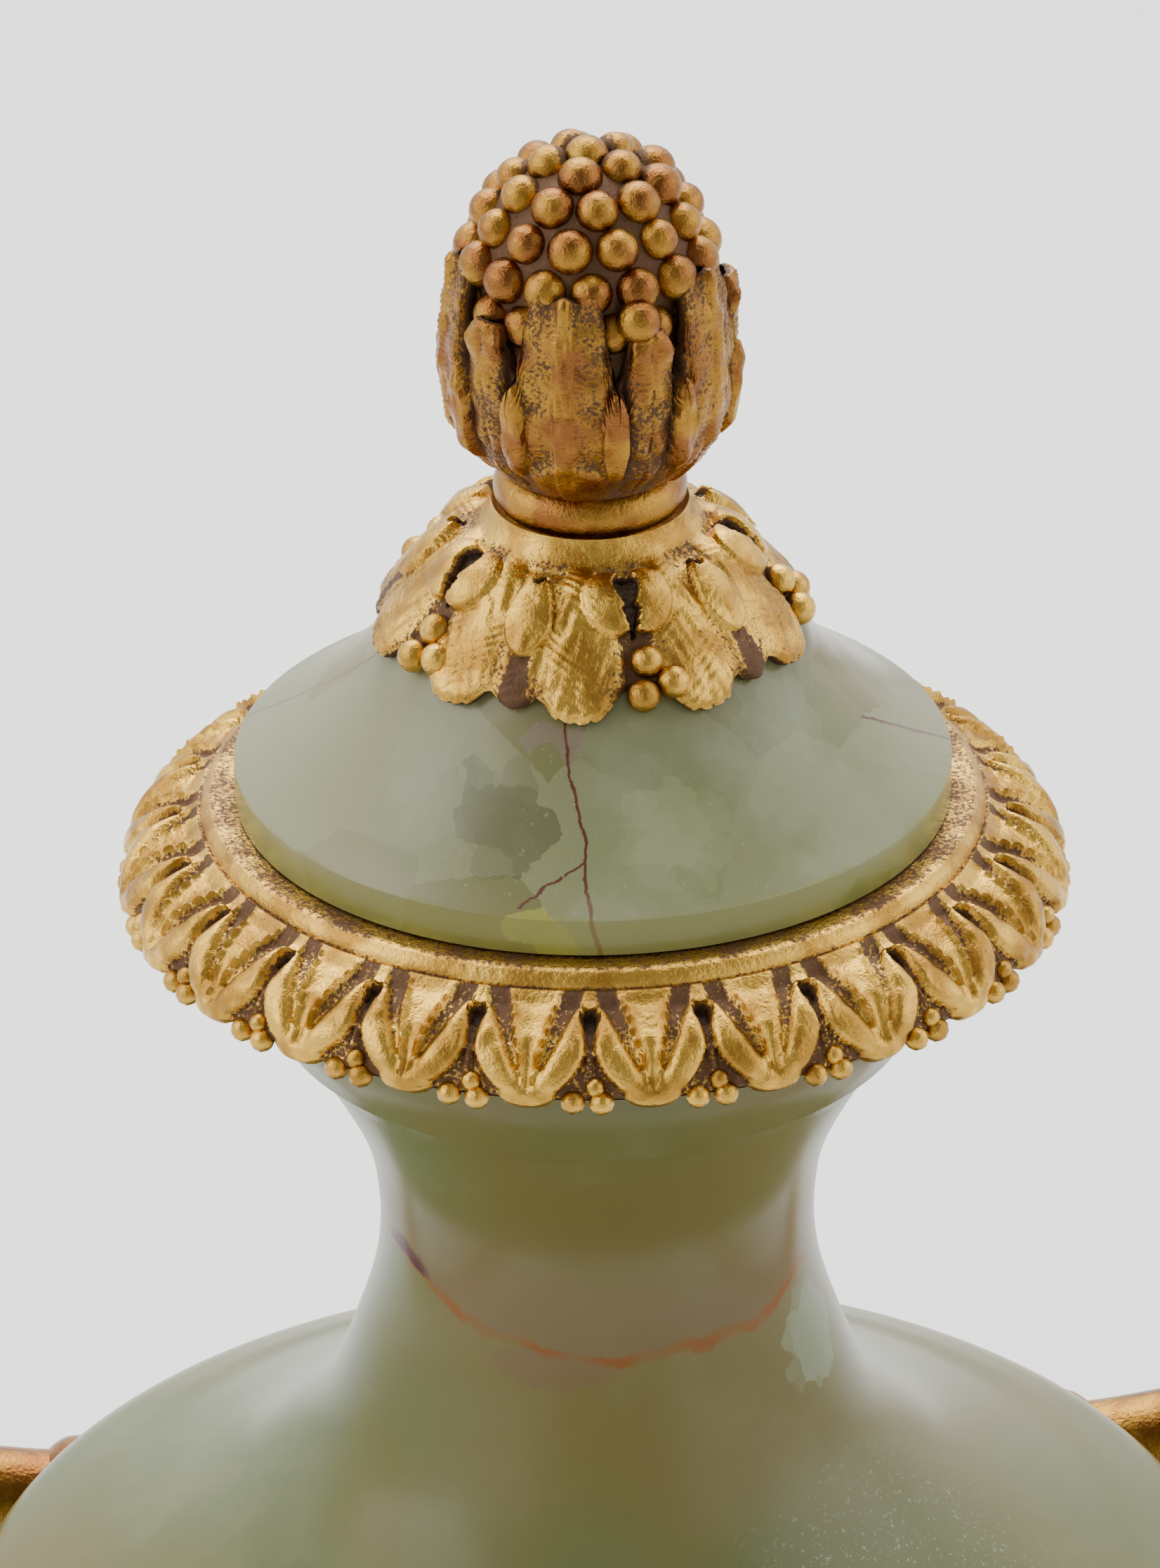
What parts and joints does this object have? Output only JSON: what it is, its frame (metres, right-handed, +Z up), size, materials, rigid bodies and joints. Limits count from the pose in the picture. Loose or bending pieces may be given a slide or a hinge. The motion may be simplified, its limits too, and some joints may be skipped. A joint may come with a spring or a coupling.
{
  "type": "mantel urn",
  "caption": "Lidded vase-shaped urn of turned green onyx with gilt bronze leaf mounts, loop handles, a berry finial and a square plinth.",
  "frame": {"origin": "centre of the underside of the plinth's bronze base", "axes": "+Z up, +X through the right handle, +Y to the back"},
  "size_m": [0.2448, 0.1696, 0.4376],
  "materials": {
    "green_onyx": "turned and polished green onyx with brown veins and milky clouds",
    "gilt_bronze": "cast and chased bronze, fire gilt, worn brown in the hollows"
  },
  "bodies": {
    "root": {"urn_body": "green_onyx", "lid": "green_onyx", "foot": "green_onyx", "plinth": "green_onyx", "rim_mount": "gilt_bronze", "lid_leaf_collar": "gilt_bronze", "finial": "gilt_bronze", "handle_right": "gilt_bronze", "handle_left": "gilt_bronze", "leaf_cup": "gilt_bronze", "stem_knop": "gilt_bronze", "foot_ring": "gilt_bronze", "plinth_base": "gilt_bronze"}
  },
  "joints": []
}
